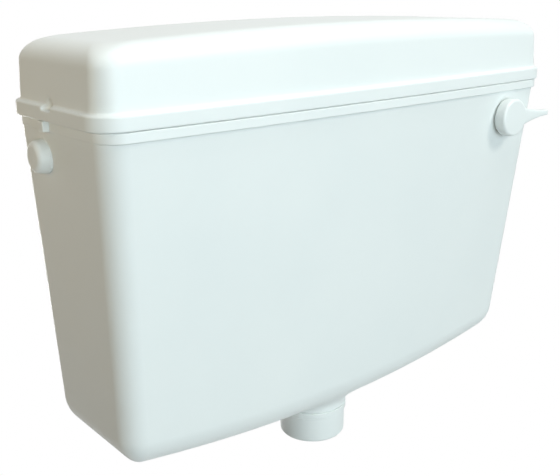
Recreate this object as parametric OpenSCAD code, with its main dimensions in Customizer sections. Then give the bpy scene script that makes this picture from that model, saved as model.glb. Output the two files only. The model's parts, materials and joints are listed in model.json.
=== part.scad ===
// Wall-hung flushing cistern: moulded tank and lift-off lid, front lever,
// diaphragm siphon, side inlet valve with ball float, and outlet coupling.
// Millimetres. +X is right seen from the front, +Y points to the wall, +Z is up.
// The origin is midway between the two wall fixing holes, on the wall.

/* [Tank shell] */
// Width across the ends, just under the rim
tank_w = 450; // [420:1:490]
// Depth from back to front, just under the rim
tank_d = 134; // [122:1:160]
// Height from the underside of the rim to the foot at the ends
tank_h = 245; // [225:1:280]
// How much lower the foot hangs at its middle
tank_sag = 16.4; // [8:0.2:22]
// How far each end leans in by the foot
end_draft = 13.7; // [4:0.1:16]
// How far the front leans in by the foot
front_draft = 24.2; // [14:0.2:28]
// How far the front bows out at its middle
front_bow = 5.5; // [2:0.5:9]
// Upright corner radius at the rim
rim_corner_r = 17.4; // [12:0.2:22]
// Upright corner radius at the foot
foot_corner_r = 16; // [12:0.5:24]
// Radius of the edge round the foot
foot_r = 26; // [18:0.5:28]
// Corner radius of the flat under the foot
foot_flat_r = 5; // [3:0.5:8]
// Wall thickness
wall_t = 3; // [2.5:0.1:3.6]
// Height of the rim band
rim_h = 7.2; // [6:0.2:10]
// How far the rim band stands out of the front
rim_out = 2.6; // [1.5:0.1:3.5]
// How far the rim band stands out of the ends
rim_end_out = 0.9; // [0.5:0.1:3]

/* [Lid] */
// Height from the lip's underside to the top at its middle
lid_h = 58.6; // [50:0.2:70]
// How much lower the top is at the ends
lid_crown = 7.1; // [3:0.1:9]
// Radius of the edge round the top
lid_top_r = 17.6; // [14:0.2:26]
// Upright corner radius of the flat part of the top
lid_top_corner_r = 17.8; // [12:0.2:26]
// Wall thickness
lid_t = 3; // [2.5:0.1:3.5]
// How far the lip stands out of the tank's front
lip_out = 3; // [2.6:0.1:5]
// How far the lip stands out of the tank's ends
lip_end_out = 4.9; // [3:0.1:6]
// Height of the lip
lip_h = 10.6; // [8:0.2:12]
// How far the lid's wall is set in from the lip
lid_inset = 3.5; // [3:0.1:6]
// How far the lid's wall leans in below the top edge
lid_draft = 1.4; // [0.5:0.1:3]
// Height of the locating skirt inside the rim
skirt_h = 4; // [3:0.5:6]
// Thickness of the locating skirt
skirt_t = 2; // [1.5:0.1:3]

/* [Lid scoops] */
// Distance of the finger scoops in front of the tank's back
scoop_depth = 63.5; // [55:0.5:90]
// Radius of the round hollow
scoop_r = 7.5; // [6:0.1:9]
// How far the hollow's centre lies outside the lip
scoop_out = 1.6; // [1.2:0.1:3]
// Height of the hollow's centre above the lip's underside
scoop_rise = 9.9; // [8:0.1:12]
// Height of the lip left under the hollow
scoop_floor = 7.2; // [6:0.2:8.4]

/* [Catch blocks] */
// Distance of the blocks in front of the tank's back
catch_depth = 56.9; // [50:0.1:80]
// Width of a block along the tank's end
catch_w = 7; // [5:0.5:12]
// How far a block stands out of the rim band
catch_out = 4.5; // [3:0.25:6]

/* [Wall fixings] */
// Distance between the two wall fixing holes
fixing_span = 330; // [300:1:350]
// Radius of the wall fixing holes
fixing_r = 4.25; // [3.5:0.05:5]
// Height of the rim's underside above the fixing holes
fixing_drop = 24; // [20:1:30]
// Radius of the pads round the fixing holes
fixing_pad_r = 14; // [11:0.5:18]
// How far the pads hold the tank off the wall
fixing_pad_t = 2; // [1:0.5:4]
// Thickness of the boss inside round each fixing hole
fixing_boss_t = 2; // [1:0.5:4]

/* [Flush handle] */
// Distance of the handle from the tank's right end
lever_in = 51.5; // [46:0.5:56]
// Distance of the handle below the rim
lever_drop = 23.2; // [22:0.2:30]
// Radius of the handle's hub
hub_r = 16.5; // [15:0.5:20]
// Length of the handle's hub
hub_t = 10; // [9:0.5:14]
// Radius of the hub's front edge
hub_edge_r = 2; // [1:0.25:3]
// Reach of the handle from the hub's centre
handle_reach = 52.5; // [40:0.5:70]
// Thickness of the handle
handle_t = 7; // [5:0.5:8]
// Half height of the handle where it leaves the hub
handle_root = 13; // [10:0.5:14]
// Half height of the handle at its tip
handle_tip = 2.6; // [2:0.2:5]
// Radius of the spindle
spindle_r = 5; // [4.5:0.1:5.5]
// Outer radius of the threaded bush
bush_r = 8; // [7.5:0.1:9]
// Radius of the bush's flange
bush_flange_r = 12.5; // [11.5:0.25:13]
// Thickness of the bush's flange
bush_flange_t = 2; // [1.5:0.1:2.5]
// How far the wall's flat seats stand off the sloping wall
lever_pad_t = 2.6; // [2.4:0.1:3.5]
// Width of the bush's lock nut across its flats
bush_nut_af = 24; // [22:0.5:27]
// Thickness of the bush's lock nut
bush_nut_t = 6; // [4:0.5:8]

/* [Lever arm] */
// Swing of the handle
lever_swing = 25; // [16:1:28]
// Height of the arm
arm_h = 10; // [8:0.5:12]
// Thickness of the arm
arm_t = 4; // [3:0.2:5]
// Radius of the arm's hub on the spindle
arm_hub_r = 9; // [8.5:0.25:10]
// Length of the arm's hub along the spindle
arm_hub_t = 10; // [8:0.5:12]
// Distance from the lock nut to the arm's hub
arm_standoff = 12; // [6:1:16]
// Radius of the clamp screw in the arm's hub
clamp_r = 2; // [1.75:0.05:2.25]
// Length of the clamp screw's head
clamp_head_t = 3; // [2:0.25:4]
// Radius of the wire that the lift link is bent from
link_r = 1.5; // [1.25:0.05:1.75]
// Length of the lift link between its two hooks
link_l = 16; // [15:0.5:20]

/* [Siphon] */
// Distance of the outlet behind the foot of the front
outlet_in = 40.8; // [40:0.2:48]
// Distance from the down leg to the bell
bell_x = 56; // [55:0.5:60]
// Outer radius of the siphon's legs
leg_r = 21; // [19:0.5:21]
// Wall of the siphon
siphon_t = 2.5; // [2:0.1:3]
// Outer radius of the bell
bell_r = 34; // [30:0.5:34]
// Room left over the piston at the top of its stroke
bell_headroom = 2; // [1:0.5:6]
// Height of the cone between the bell and the leg
bell_cone_h = 18; // [12:1:24]
// Gap between the siphon's flange and the bell's ring
bell_gap = 1.5; // [1:0.5:6]
// Depth of the crown's collar over the falling leg
collar_l = 12; // [8:1:16]
// Radius of the lift rod
rod_r = 3; // [2.5:0.1:3.5]
// Wall of the eye at the lift rod's top
eye_t = 3; // [2.5:0.25:4]
// Radius of the head under the piston plate
rod_head_r = 6; // [5:0.5:8]
// Thickness of that head
rod_head_t = 2; // [1.5:0.25:2.5]
// Radius of the lift rod's guide
guide_r = 7; // [6:0.5:9]
// Height of the guide above the crown's shoulder
guide_h = 2; // [1:0.25:3]
// Radius of the flange that sits on the tank's floor
siphon_flange_r = 31; // [30:0.5:33]
// Thickness of that flange
siphon_flange_t = 5; // [4:0.5:7]

/* [Piston] */
// Thickness of the piston plate
plate_t = 3; // [2.5:0.25:4]
// Thickness of the diaphragm
diaphragm_t = 1.2; // [0.8:0.1:2]
// Radius of the clamp disc over the diaphragm
disc_r = 12; // [10:0.5:16]
// Thickness of the clamp disc
disc_t = 3; // [2:0.25:4]
// Number of water ports through the plate
port_n = 6; // [4:1:8]
// Radius of each water port
port_r = 6; // [4:0.25:6.5]
// Height of the ring that carries the piston
base_ring_h = 4; // [3:0.5:6]
// Height of the ring's spigot inside the bell
base_spigot_h = 5; // [4:0.5:7]
// Thickness of the ring's spigot
base_spigot_t = 2; // [1.5:0.25:3]
// Width of the bars across the ring
base_bar_w = 5; // [4:0.5:7]

/* [Outlet] */
// Radius of the threaded tail
tail_r = 23.9; // [23:0.1:24.5]
// Inside radius of the socket for the flush pipe
pipe_r = 20.5; // [19:0.1:21]
// Depth of the socket for the flush pipe
socket_l = 24; // [18:1:26]
// Outer radius of the neck under the tank
neck_r = 30; // [29:0.5:33]
// Radius of the fillet between the neck and the tank
neck_fillet = 6; // [3:0.5:7]
// Height of the flat seat inside, over the floor's rounded edge
floor_pad_t = 1.2; // [0.8:0.1:2]
// Height of the neck
neck_h = 10; // [8:0.5:14]
// Radius of the back nut
back_nut_r = 30.8; // [29.5:0.1:34]
// Thickness of the back nut
back_nut_t = 5; // [4:0.25:7]
// Radius of the coupling nut
coupling_r = 29.7; // [28.5:0.1:32]
// Length of the coupling nut
coupling_l = 24; // [22:0.5:34]
// Thickness of the coupling nut's lip
coupling_lip = 4; // [3:0.25:5]
// Height of the cone seal
cone_l = 7; // [5:0.25:8]
// Thickness of the flat sealing washers
seal_t = 2.5; // [1.5:0.25:3]

/* [Inlet valve] */
// Distance of the side holes in front of the tank's back
side_depth = 43; // [40:1:50]
// Distance of the side holes below the rim
side_drop = 18.8; // [18.4:0.2:26]
// Radius of the holes in the two ends
side_hole_r = 11; // [10.9:0.05:11.5]
// Radius of the flat seats round the side holes
side_pad_r = 17; // [16:0.5:19]
// How far the seats stand off the sloping wall
side_pad_t = 1.2; // [1:0.1:2]
// Radius of the inlet's pipe thread
inlet_r = 10.48; // [10:0.02:10.6]
// Free length of the inlet's pipe thread
inlet_l = 18; // [14:0.5:24]
// How much smaller the inlet's shank is behind its thread
inlet_relief = 0.4; // [0.3:0.05:0.6]
// Width of the inlet's back nut across its flats
inlet_nut_af = 30; // [27:0.5:34]
// Thickness of the inlet's back nut
inlet_nut_t = 7; // [5:0.5:9]
// Radius of the valve's flange
valve_flange_r = 15; // [14:0.5:17]
// Thickness of the valve's flange
valve_flange_t = 4; // [3:0.5:5]
// Outer radius of the valve's barrel
barrel_r = 11.5; // [10.5:0.25:12]
// Length of the valve's barrel
barrel_l = 42; // [42:0.5:48]
// Radius of the plunger
plunger_r = 7; // [6.5:0.1:7.5]
// Length of the plunger
plunger_l = 21; // [20:0.5:24]
// Thickness of the plunger's rubber washer
washer_t = 3; // [2:0.25:4]
// Length of the seat nozzle
seat_l = 5; // [4:0.25:6]
// Radius of the water way through the valve
bore_r = 4; // [3:0.25:4.5]
// Radius of the seat's orifice
orifice_r = 2; // [1:0.1:2.4]
// Thickness of the cap on the barrel's end
cap_t = 3; // [2:0.25:4]
// Outer radius of the spout under the barrel
spout_r = 5; // [4.5:0.1:5.3]
// Length of the spout under the barrel
spout_l = 9; // [7:0.5:12]
// Depth of the wall behind the seat nozzle
shoulder_l = 4; // [3:0.5:6]
// Length of the silencer tube
silencer_l = 150; // [60:5:170]
// Outer radius of the silencer tube
silencer_r = 6.5; // [6:0.25:7]

/* [Float] */
// Radius of the pivot pin
pivot_r = 2; // [1.75:0.05:2.5]
// Swing of the float arm
float_swing = 18; // [10:1:20]
// Gap between the float at rest and the tank's floor
float_floor_gap = 4; // [3:0.5:10]
// Share of the float's drop reached where the arm comes forward
float_bend_share = 0.68; // [0.64:0.01:0.74]
// Radius of the float arm's rod
float_rod_r = 3; // [2.5:0.1:3.5]
// Radius of the bends in the rod
float_bend_r = 8; // [6:0.5:12]
// Length of the finger from the pivot to the plunger
finger_l = 11; // [10.5:0.1:12]
// Thickness of the finger
finger_w = 5; // [4:0.25:5.5]
// Width of the arm's hub on the pivot pin
pivot_hub_w = 8; // [7:0.25:9]
// Radius of the arm's hub on the pivot pin
pivot_hub_r = 5; // [4.5:0.1:5.5]
// Thickness of the ears that hold the pivot pin
ear_t = 3.5; // [3:0.25:4.5]
// Straight stretch of the arm before its first bend
float_lead = 38; // [34:1:42]
// Distance of the arm's back stretch from the tank's back
float_back = 14; // [11:0.5:16]
// Radius of the float
float_r = 38; // [30:0.5:40]
// Wall of the float
float_t = 2; // [1.5:0.1:2.5]
// Length of the float's neck
float_neck_l = 12; // [8:0.5:14]
// Outer radius of the float's neck
float_neck_r = 6.5; // [6:0.25:8]
// Radius of the bead round the float's seam
float_bead_r = 1.2; // [0.8:0.1:1.5]
// Width of the float's lock nut across its flats
float_nut_af = 12; // [10:0.5:14]
// Thickness of the float's lock nut
float_nut_t = 5; // [4:0.25:6]

/* [Blanking plug] */
// Radius of the plug's head at the tank
plug_r = 12.5; // [12:0.25:14]
// Radius of the plug's face
plug_face_r = 10.6; // [10:0.1:12]
// Radius of the edge round the plug's face
plug_edge_r = 4; // [1:0.25:5]
// Length of the plug's head
plug_t = 8; // [5:0.5:10]
// Radial play of the plug's shank in its hole
plug_play = 1.3; // [1.1:0.1:1.8]
// Width of the plug's nut across its flats
plug_nut_af = 29; // [26:0.5:32]
// Thickness of the plug's nut
plug_nut_t = 6; // [4:0.5:8]

/* [Clearances] */
// Radial gap of threads and of pieces that are screwed together
thread_gap = 0.05; // [0.03:0.01:0.1]
// Radial gap of shafts that turn or slide in their bores
run_gap = 0.08; // [0.02:0.01:0.09]
// Gap between pieces that move past each other
move_gap = 0.5; // [0.35:0.05:0.6]
// Gap under a moving piece that rests on its seat
rest_gap = 0.2; // [0.1:0.05:0.3]
// Gap between the lid's skirt and the tank's wall
skirt_gap = 0.8; // [0.5:0.1:1.2]

/* [Hidden] */
$fn = 64;
// Steps of the lofted shells: round a corner, along an edge, round the foot and top
corner_n = 6;
edge_n = 9;
round_n = 7;
overlap = 0.01;
// How much fuller a bent rod is at its bends
knuckle = 1.04;
rim_z = fixing_drop;
back_y = -fixing_pad_t;

// Shapes that several pieces share
module along_x(x0, x1, y, z, r) {
  translate([x0, y, z]) rotate([0, 90, 0]) cylinder(h = x1 - x0, r = r);
}
module along_y(x, y0, y1, z, r) {
  translate([x, y0, z]) rotate([-90, 0, 0]) cylinder(h = y1 - y0, r = r);
}
module along_z(x, y, z0, z1, r) {
  translate([x, y, z0]) cylinder(h = z1 - z0, r = r);
}
module ring_z(x, y, z0, z1, r_out, r_in) {
  difference() {
    along_z(x, y, z0, z1, r_out);
    along_z(x, y, z0 - 1, z1 + 1, r_in);
  }
}
module ring_x(x0, x1, y, z, r_out, r_in) {
  difference() {
    along_x(x0, x1, y, z, r_out);
    along_x(x0 - 1, x1 + 1, y, z, r_in);
  }
}
// Hexagon nut along Z from 0 to h, bored out
module hex_nut(af, h, r) {
  difference() {
    cylinder(h = h, r = af / 2 / cos(30), $fn = 6);
    translate([0, 0, -1]) cylinder(h = h + 2, r = r);
  }
}
// Round rod bent along a flat path, every corner to one bend radius and a little fuller there
function heading(path, i) = let (step = path[i + 1] - path[i]) atan2(step.y, step.x);
function turn_at(path, i) = i == 0 || i == len(path) - 1 ? 0 :
  let (turn = heading(path, i) - heading(path, i - 1)) turn - 360 * round(turn / 360);
function corner_cut(path, i, bend_r) = bend_r * tan(abs(turn_at(path, i)) / 2);
function straight_cut(path, i, r, bend_r) = max(0, corner_cut(path, i, bend_r) - r / 6);
module bent_rod(path, r, bend_r) {
  for (i = [0:len(path) - 2]) {
    start = straight_cut(path, i, r, bend_r);
    end = norm(path[i + 1] - path[i]) - straight_cut(path, i + 1, r, bend_r);
    translate(path[i]) rotate(heading(path, i)) along_x(start, end, 0, 0, r);
  }
  for (i = [1:len(path) - 2]) {
    turn = turn_at(path, i);
    translate(path[i]) rotate(heading(path, i - 1))
      translate([-corner_cut(path, i, bend_r), sign(turn) * bend_r, 0])
        rotate(turn > 0 ? -90 : 90 + turn)
          rotate_extrude(angle = abs(turn)) translate([bend_r, 0]) circle(r = r * knuckle);
  }
}
// Round knob profile turned about Z: base radius, face radius, height and face edge radius
module knob(base_r, face_r, h, edge_r) {
  edge = [for (i = [0:corner_n]) let (a = 90 * i / corner_n)
    [face_r - edge_r * (1 - cos(a)), h - edge_r * (1 - sin(a))]];
  rotate_extrude() polygon(concat([[0, 0], [base_r, 0]], edge, [[0, h]]));
}

// Lofted shells: every ring has the same number of points, front edge first
function mix(a, b, t) = a + (b - a) * t;
function arc(x, y, r, from, to) = [for (i = [0:corner_n])
  let (a = mix(from, to, i / corner_n)) [x + r * cos(a), y + r * sin(a)]];
function outline(half, front, back, r) = concat(
  arc(r - half, front + r, r, 180, 270),
  [for (i = [1:edge_n]) [mix(r - half, half - r, i / (edge_n + 1)), front]],
  arc(half - r, front + r, r, 270, 360),
  arc(half - r, back - r, r, 0, 90),
  [for (i = [1:edge_n]) [mix(half - r, r - half, i / (edge_n + 1)), back]],
  arc(r - half, back - r, r, 90, 180));
function bow(p, half, middle) = p.y < middle ? front_bow * (1 - pow(p.x / half, 2)) : 0;
function bowed(half, front, back, r) = [for (p = outline(half, front, back, r))
  [p.x, p.y - bow(p, half, (front + back) / 2)]];
// Closed skin over rings: two triangles per step, and strips across both ends
module skin(rings) {
  n = len(rings[0]);
  sides = [for (k = [0:len(rings) - 2]) for (i = [0:n - 1])
    let (a = k * n + i, b = k * n + (i + 1) % n) each [[a, a + n, b + n], [a, b + n, b]]];
  strip = [for (i = [0:n / 2 - 2]) [i, i + 1, n - 2 - i, n - 1 - i]];
  last = (len(rings) - 1) * n;
  first_end = [for (s = strip) each [[s[0], s[1], s[2]], [s[0], s[2], s[3]]]];
  last_end = [for (s = strip) each
    [[last + s[0], last + s[2], last + s[1]], [last + s[0], last + s[3], last + s[2]]]];
  polyhedron([for (ring = rings) each ring], concat(sides, first_end, last_end));
}

// Tank walls: t runs from 0 at the rim to 1 at the foot
function tank_half(t) = tank_w / 2 - end_draft * t;
function tank_front(t) = back_y - tank_d + front_draft * t;
function tank_corner(t) = mix(rim_corner_r, foot_corner_r, t);
function tank_drop(x) = tank_h + tank_sag * (1 - pow(2 * x / tank_w, 2));
// Ring grown outwards by one amount at the ends and another at the front, and lifted
function tank_ring(t, end_grow, grow, lift) = [for (p = bowed(
    tank_half(t) + end_grow, tank_front(t) - grow, back_y + min(grow, 0),
    max(tank_corner(t) + end_grow, foot_flat_r)))
  [p.x, p.y, rim_z - t * tank_drop(p.x) + lift]];
function foot_ring(a, r, grow, lift) = let (edge = grow - r * (1 - cos(a)))
  tank_ring(1 - r * (1 - sin(a)) / tank_h, edge, edge, lift);
floor_r = foot_r - wall_t;
tank_rings = concat(
  [for (i = [0:round_n]) foot_ring(90 - 90 * i / round_n, foot_r, 0, 0)],
  [tank_ring(0, 0, 0, 0), tank_ring(0, rim_end_out, rim_out, 0)],
  [tank_ring(0, rim_end_out, rim_out, rim_h), tank_ring(0, -wall_t, -wall_t, rim_h)],
  [for (i = [0:round_n]) foot_ring(90 * i / round_n, floor_r, -wall_t, wall_t)]);
// Outer face of the front wall at a place on it
function front_at(x, z) = let (t = (rim_z - z) / tank_drop(x))
  tank_front(t) - front_bow * (1 - pow(x / tank_half(t), 2));

// Lid: rings are set in from the lip by inset, at height h over its underside
lid_z = rim_z + rim_h + rest_gap;
lip_edge = lip_h / 6;
flare_r = lid_inset - lip_edge;
wall_h = lip_h + flare_r;
lid_half = tank_w / 2 + lip_end_out;
lid_front = tank_front(0) - lip_out;
lip_corner_r = rim_corner_r + lip_out;
function crown_share(h) = max(0, (h - wall_h) / (lid_h - wall_h));
function lid_ring(inset, h, r) = [for (p = bowed(
    lid_half - inset, lid_front + inset, back_y - inset, r))
  [p.x, p.y, lid_z + h - lid_crown * crown_share(h) * pow(p.x / lid_half, 2)]];
function lip_ring(inset, h) = lid_ring(inset, h, lip_corner_r - inset);
// Ring of the rounded top at angle a, for the outer face or for one t further in
function top_ring(a, t) = let (r = lid_top_r - t, wall = lid_inset + lid_draft + t)
  lid_ring(wall + r * (1 - cos(a)), lid_h - lid_top_r + r * sin(a),
    mix(lip_corner_r - wall, lid_top_corner_r, 1 - cos(a)));
skirt_in = max(lip_out, lip_end_out) + wall_t + skirt_gap;
lid_rings = concat(
  [for (i = [0:round_n]) top_ring(90 - 90 * i / round_n, lid_t)],
  [lip_ring(lid_inset + lid_t, wall_h), lip_ring(skirt_in + skirt_t, lip_h - lid_t)],
  [lip_ring(skirt_in + skirt_t, -skirt_h), lip_ring(skirt_in, -skirt_h), lip_ring(skirt_in, 0)],
  [lip_ring(lip_edge / 2, 0), lip_ring(0, lip_edge / 2)],
  [for (i = [0:corner_n / 2]) let (a = 180 * i / corner_n)
    lip_ring(lip_edge * (1 - cos(a)), lip_h - lip_edge * (1 - sin(a)))],
  [for (i = [1:corner_n / 2]) let (a = 180 * i / corner_n)
    lip_ring(lip_edge + flare_r * sin(a), lip_h + flare_r * (1 - cos(a)))],
  [for (i = [0:round_n]) top_ring(90 * i / round_n, 0)]);
scoop_y = back_y - scoop_depth;
scoop_z = lid_z + scoop_floor;

// Flush handle and lever arm
lever_x = tank_w / 2 - lever_in;
lever_z = rim_z - lever_drop;
lever_wall = front_at(lever_x, lever_z);
lever_seat = lever_wall - lever_pad_t;
lever_inner = lever_wall + wall_t + lever_pad_t;
lever_pad_r = bush_flange_r + 1;
handle_back = lever_seat - move_gap;
handle_face = handle_back - hub_t;
socket_end = handle_face + hub_edge_r;
bush_end = lever_inner + bush_nut_t + bush_flange_t;
arm_back = lever_inner + bush_nut_t + arm_standoff;
arm_y = arm_back + arm_hub_t / 2;
outlet_y = tank_front(1) + outlet_in;
arm_reach = lever_x - bell_x;
half_swing = lever_swing / 2;
slot_far = arm_reach / cos(half_swing);
slot_r = link_r + move_gap;
lift = 2 * arm_reach * tan(half_swing);
hook_z = lever_z - lift / 2;
eye_z = hook_z - link_l;
eye_r = link_r + eye_t;

// Siphon and outlet
foot_z = rim_z - tank_h - tank_sag;
floor_z = foot_z + wall_t;
// The flat seat inside stands over the foot's rounded edge under the siphon's flange
seat_over = max(0, tank_front(1) - front_bow + foot_r - outlet_y + siphon_flange_r + move_gap);
seat_rise = floor_r - sqrt(pow(floor_r, 2) - pow(seat_over, 2));
floor_seat = floor_z + seat_rise + floor_pad_t;
neck_z = foot_z - neck_h;
crown_r = bell_x / 2;
crown_shoulder = sqrt(pow(crown_r + leg_r, 2) - pow(crown_r, 2));
guide_z = eye_z - eye_r - move_gap;
crown_z = guide_z - guide_h - crown_shoulder;
leg_bore = leg_r - siphon_t;
bell_bore = bell_r - siphon_t;
siphon_z = floor_seat + seal_t;
bell_z = siphon_z + siphon_flange_t + bell_gap + base_ring_h;
plate_z = bell_z + base_spigot_h + rest_gap;
diaphragm_z = plate_z + plate_t;
disc_z = diaphragm_z + diaphragm_t;
bell_top = disc_z + lift + bell_headroom;
cone_top = bell_top + bell_cone_h;
piston_r = bell_bore - move_gap;
spigot_r = bell_bore - thread_gap;
rod_bore = rod_r + thread_gap;
coupling_z = neck_z - back_nut_t - rest_gap - coupling_l;
cone_z = coupling_z + coupling_lip;
tail_z = cone_z + cone_l;
tail_hole = tail_r + move_gap;
lip_bore = pipe_r + move_gap;

// Inlet valve, float and blanking plug
side_y = back_y - side_depth;
side_z = rim_z - side_drop;
side_wall = tank_half(side_drop / tank_h);
side_seat = side_wall + side_pad_t;
side_inner = side_wall - wall_t - side_pad_t;
side_seal_x = side_inner - seal_t;
flange_x = side_seal_x - valve_flange_t;
barrel_x = flange_x - barrel_l;
barrel_bore = plunger_r + run_gap;
bore_end = flange_x - shoulder_l;
seat_x = bore_end - seat_l;
travel = 2 * finger_l * sin(float_swing / 2);
washer_x = seat_x - travel - rest_gap - washer_t;
washer_r = plunger_r - 1;
plunger_x = washer_x - plunger_l;
finger_x = plunger_x + plunger_l / 2;
pivot_x = finger_x + travel / 2;
pivot_drop = barrel_r + pivot_hub_r + move_gap;
pivot_z = side_z - pivot_drop;
spout_x = seat_x - travel / 2;
spout_bore = spout_r - 1.5;
ear_in = pivot_hub_w / 2 + move_gap;
nut_x = side_seat + inlet_nut_t;
inlet_shank_r = inlet_r - inlet_relief;
float_back_y = back_y - float_back;
bend_1 = float_lead;
bend_2 = bend_1 + float_back_y - side_y;
float_floor = rim_z - tank_drop(tank_w / 4) + wall_t;
float_drop = pivot_z - float_floor - float_floor_gap - float_r - float_bead_r;
bend_3 = norm([pivot_x + leg_r / 2, float_drop * float_bend_share]);
bend_4 = bend_3 + float_back_y - outlet_y;
neck_s = bend_4 + float_bend_r * tan(22.5) + float_nut_t;
float_s = neck_s + float_neck_l + float_r;
float_slope = asin(float_drop / float_s);
plug_shank_r = side_hole_r - plug_play;
plug_nut_x = side_seal_x - plug_nut_t;

module tank() color("white") difference() {
  union() {
    skin(tank_rings);
    for (side = [-1, 1]) {
      catch_block(side);
      along_y(side * fixing_span / 2, back_y - wall_t - fixing_boss_t, 0, 0, fixing_pad_r);
      mirror([side < 0 ? 1 : 0, 0, 0]) {
        along_x(side_inner, side_wall - wall_t / 2, side_y, side_z, side_pad_r);
        along_x(side_wall - wall_t / 2, side_seat, side_y, side_z, plug_r);
      }
    }
    along_y(lever_x, lever_seat, lever_inner, lever_z, lever_pad_r);
    neck();
  }
  for (side = [-1, 1]) along_y(side * fixing_span / 2, back_y - tank_d / 2, 1, 0, fixing_r);
  along_x(-tank_w, tank_w, side_y, side_z, side_hole_r);
  along_y(lever_x, lever_seat - 1, lever_inner + 1, lever_z, bush_r + move_gap);
  along_z(0, outlet_y, neck_z - 1, floor_seat + 1, tail_hole);
}
// Neck under the tank with a fillet up to the foot, and the flat seat inside over it
module neck() {
  fillet = [for (i = [0:corner_n]) let (a = 180 - 90 * i / corner_n)
    [neck_r + neck_fillet * (1 + cos(a)), foot_z - neck_fillet * (1 - sin(a))]];
  translate([0, outlet_y, 0]) rotate_extrude() polygon(concat(
    [[0, neck_z], [neck_r, neck_z]], fillet,
    [[neck_r + neck_fillet, floor_seat], [0, floor_seat]]));
}
// Block on the rim's end that a lid strap hooks under
module catch_block(side) {
  low = tank_w / 2 - wall_t / 2;
  high = tank_w / 2 + rim_end_out + catch_out;
  translate([side > 0 ? low : -high, back_y - catch_depth - catch_w / 2, rim_z])
    cube([high - low, catch_w, rim_h]);
}
module lid() color("white") difference() {
  skin(lid_rings);
  for (side = [-1, 1]) scoop(side);
}
// Round hollow with a flat floor over the lip, for the fingers that lift the lid
module scoop(side) intersection() {
  translate([side * (lid_half + scoop_out), scoop_y, lid_z + scoop_rise]) sphere(r = scoop_r);
  translate([-tank_w, scoop_y - scoop_r, scoop_z]) cube([2 * tank_w, 2 * scoop_r, lid_h]);
}

module flush_handle() color("white") difference() {
  union() {
    translate([lever_x, handle_back, lever_z]) rotate([90, 0, 0]) knob(hub_r, hub_r, hub_t, hub_edge_r);
    translate([lever_x, handle_face + handle_t, lever_z]) rotate([90, 0, 0]) handle_blade();
  }
  along_y(lever_x, lever_seat - bush_flange_t - move_gap, handle_back + 1, lever_z,
    bush_flange_r + move_gap);
  along_y(lever_x, socket_end, handle_back + 1, lever_z, spindle_r + thread_gap);
}
// Blade that sweeps in from the hub to a slim round tip
module handle_blade() {
  tip_x = handle_reach - handle_tip;
  top = [for (i = [0:round_n]) let (s = i / round_n)
    [tip_x * s, mix(handle_tip, handle_root, pow(1 - s, 2))]];
  low = [for (i = [0:round_n]) [top[round_n - i].x, -top[round_n - i].y]];
  linear_extrude(handle_t) polygon(concat(top, low));
  translate([tip_x, 0, 0]) cylinder(h = handle_t, r = handle_tip);
}
module handle_bush() color("lightgray") difference() {
  union() {
    along_y(lever_x, lever_seat - bush_flange_t, lever_seat, lever_z, bush_flange_r);
    along_y(lever_x, lever_seat - bush_flange_t, bush_end, lever_z, bush_r);
  }
  along_y(lever_x, lever_seat - bush_flange_t - 1, bush_end + 1, lever_z, spindle_r + run_gap);
}
module bush_lock_nut() color("lightgray")
  translate([lever_x, lever_inner, lever_z]) rotate([-90, 0, 0])
    hex_nut(bush_nut_af, bush_nut_t, bush_r + thread_gap);
module handle_spindle() color("silver")
  along_y(lever_x, socket_end, arm_back + arm_hub_t, lever_z, spindle_r);

// Lever arm in its own frame: pivot at the origin, reaching to -X, hanging at rest
module at_lever() translate([lever_x, 0, lever_z]) rotate([0, -half_swing, 0]) children();
module lever_arm() color("silver") at_lever() difference() {
  union() {
    along_y(0, arm_back, arm_back + arm_hub_t, 0, arm_hub_r);
    translate([0, 0, -arm_h / 2]) linear_extrude(arm_h) polygon(arm_plan());
  }
  along_y(0, arm_back - 1, arm_back + arm_hub_t + 1, 0, spindle_r + thread_gap);
  along_z(0, arm_y, 0, 2 * arm_hub_r, clamp_r + thread_gap);
  for (s = [arm_reach, slot_far])
    along_y(-s, outlet_y - arm_t, outlet_y + arm_t, 0, slot_r);
  translate([-slot_far, outlet_y - arm_t, -slot_r]) cube([slot_far - arm_reach, 2 * arm_t, 2 * slot_r]);
}
// Strip seen from above: straight, one jog at 45 degrees, then straight past the slot
function arm_plan() = let (
    half = arm_t / 2, corner = half * tan(22.5), jog = arm_hub_r + arm_h / 2,
    jog_end = jog + outlet_y - arm_y, end = slot_far + arm_h / 2)
  [[0, arm_y - half], [-jog - corner, arm_y - half], [-jog_end - corner, outlet_y - half],
    [-end, outlet_y - half], [-end, outlet_y + half], [corner - jog_end, outlet_y + half],
    [corner - jog, arm_y + half], [0, arm_y + half]];
module lever_clamp_screw() color("silver") at_lever() {
  along_z(0, arm_y, spindle_r + thread_gap, arm_hub_r + clamp_head_t, clamp_r);
  along_z(0, arm_y, arm_hub_r, arm_hub_r + clamp_head_t, 2 * clamp_r);
}
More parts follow.
